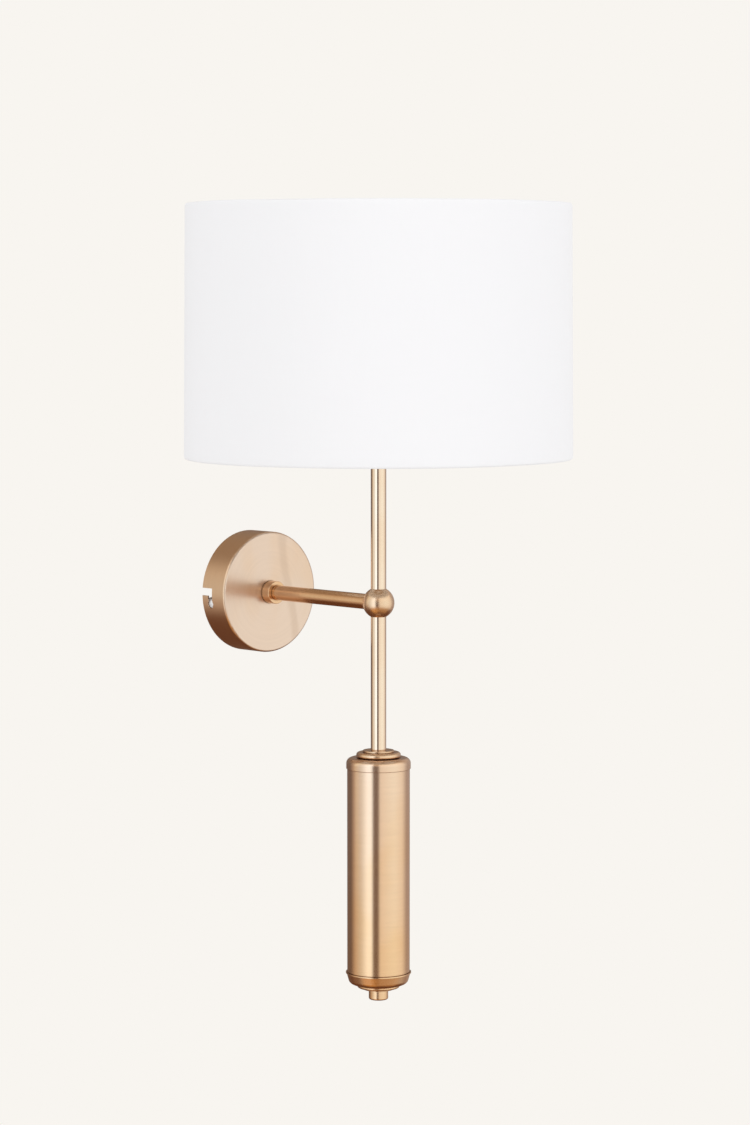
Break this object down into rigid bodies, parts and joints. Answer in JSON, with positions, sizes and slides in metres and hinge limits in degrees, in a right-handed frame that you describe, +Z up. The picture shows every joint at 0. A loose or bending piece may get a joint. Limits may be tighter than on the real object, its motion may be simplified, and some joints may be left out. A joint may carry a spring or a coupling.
{
  "type": "wall sconce",
  "caption": "Wall light: round canopy, level arm that swivels in it, and a stem with a drum shade above and a cylinder counterweight below.",
  "frame": {"origin": "centre of the wall bracket's back face, on the surface of the wall", "axes": "+X to the right of a person who faces the wall, +Y into the wall, +Z up along the stem"},
  "size_m": [0.3, 0.304, 0.6189],
  "materials": {
    "satin_brass": "satin, brushed round the turned parts and along the tubes, clear lacquer",
    "zinc_steel": "bright zinc plate",
    "threaded_steel": "zinc plated rolled thread",
    "nickel_screws": "nickel plate",
    "terminal_brass": "plain turned brass",
    "white_plastic": "fine moulded texture",
    "fibre": "vulcanised fibre",
    "ceramic": "unglazed steatite",
    "cast_iron": "raw casting with turned ends",
    "flex_sheath": "smooth extruded sheath",
    "core_insulation": "smooth extruded insulation",
    "earth_insulation": "green with a yellow stripe",
    "shade_fabric": "fine plain weave, matt",
    "shade_liner": "laminated liner sheet, slightly glossy",
    "shade_wire": "white powder coat",
    "lamp_opal": "opal diffuser",
    "lamp_housing": "smooth moulding",
    "lamp_cap": "nickel plated thread",
    "lamp_insulator": "black vitreous"
  },
  "bodies": {
    "wall_mount": {"wall_bracket": "zinc_steel", "bracket_side_screws": "nickel_screws", "terminal_block": "white_plastic", "terminal_inserts": "terminal_brass", "terminal_screws": "terminal_brass", "earth_tag": "zinc_steel", "earth_screw": "zinc_steel", "canopy": "satin_brass", "stop_pin": "zinc_steel", "flex_in_canopy": "flex_sheath", "canopy_cores": "core_insulation", "earth_lead": "earth_insulation"},
    "lamp_arm": {"arm_friction_washer": "fibre", "arm_collar": "satin_brass", "arm_tube": "satin_brass", "arm_pipe": "threaded_steel", "arm_end_ring": "satin_brass", "inner_friction_washer": "fibre", "stop_washer": "zinc_steel", "spring_washer": "zinc_steel", "swivel_nut": "zinc_steel", "swivel_lock_nut": "zinc_steel", "ball_joint": "satin_brass", "stem_upper_tube": "satin_brass", "stem_upper_pipe": "threaded_steel", "stem_lower_tube": "satin_brass", "tie_rod": "threaded_steel", "flex_in_arm": "flex_sheath", "weight_neck_disc": "satin_brass", "weight_neck_ring": "satin_brass", "weight_top_cap": "satin_brass", "weight_tube": "satin_brass", "ballast": "cast_iron", "ballast_nuts": "zinc_steel", "weight_bottom_cap": "satin_brass", "weight_foot_ring": "satin_brass", "weight_foot_disc": "satin_brass", "finial_knob": "satin_brass", "holder_cap": "white_plastic", "holder_sleeve": "white_plastic", "holder_insert": "ceramic", "holder_terminals": "terminal_brass", "holder_screw_shell": "terminal_brass", "holder_centre_contact": "terminal_brass", "holder_cores": "core_insulation"},
    "shade": {"shade_fabric": "shade_fabric", "shade_liner": "shade_liner", "shade_spider": "shade_wire", "shade_top_wire": "shade_wire"},
    "shade_ring": {"shade_ring": "white_plastic"},
    "lamp": {"lamp_contact": "terminal_brass", "lamp_insulator": "lamp_insulator", "lamp_cap": "lamp_cap", "lamp_housing": "lamp_housing", "lamp_globe": "lamp_opal"}
  },
  "joints": [
    {"name": "arm_swivel", "type": "hinge", "parent": "wall_mount", "child": "lamp_arm", "pos_m": [0, -0.0266, 0], "axis": [0, 1, 0], "range_deg": [-90, 90]},
    {"name": "shade_turn", "type": "hinge", "parent": "lamp_arm", "child": "shade", "pos_m": [0, -0.154, 0.17], "axis": [0, 0, 1], "continuous": true},
    {"name": "shade_ring_turn", "type": "hinge", "parent": "lamp_arm", "child": "shade_ring", "pos_m": [0, -0.154, 0.17], "axis": [0, 0, 1], "range_deg": [0, 720]},
    {"name": "lamp_turn", "type": "hinge", "parent": "lamp_arm", "child": "lamp", "pos_m": [0, -0.154, 0.17], "axis": [0, 0, 1], "range_deg": [0, 1080]}
  ]
}
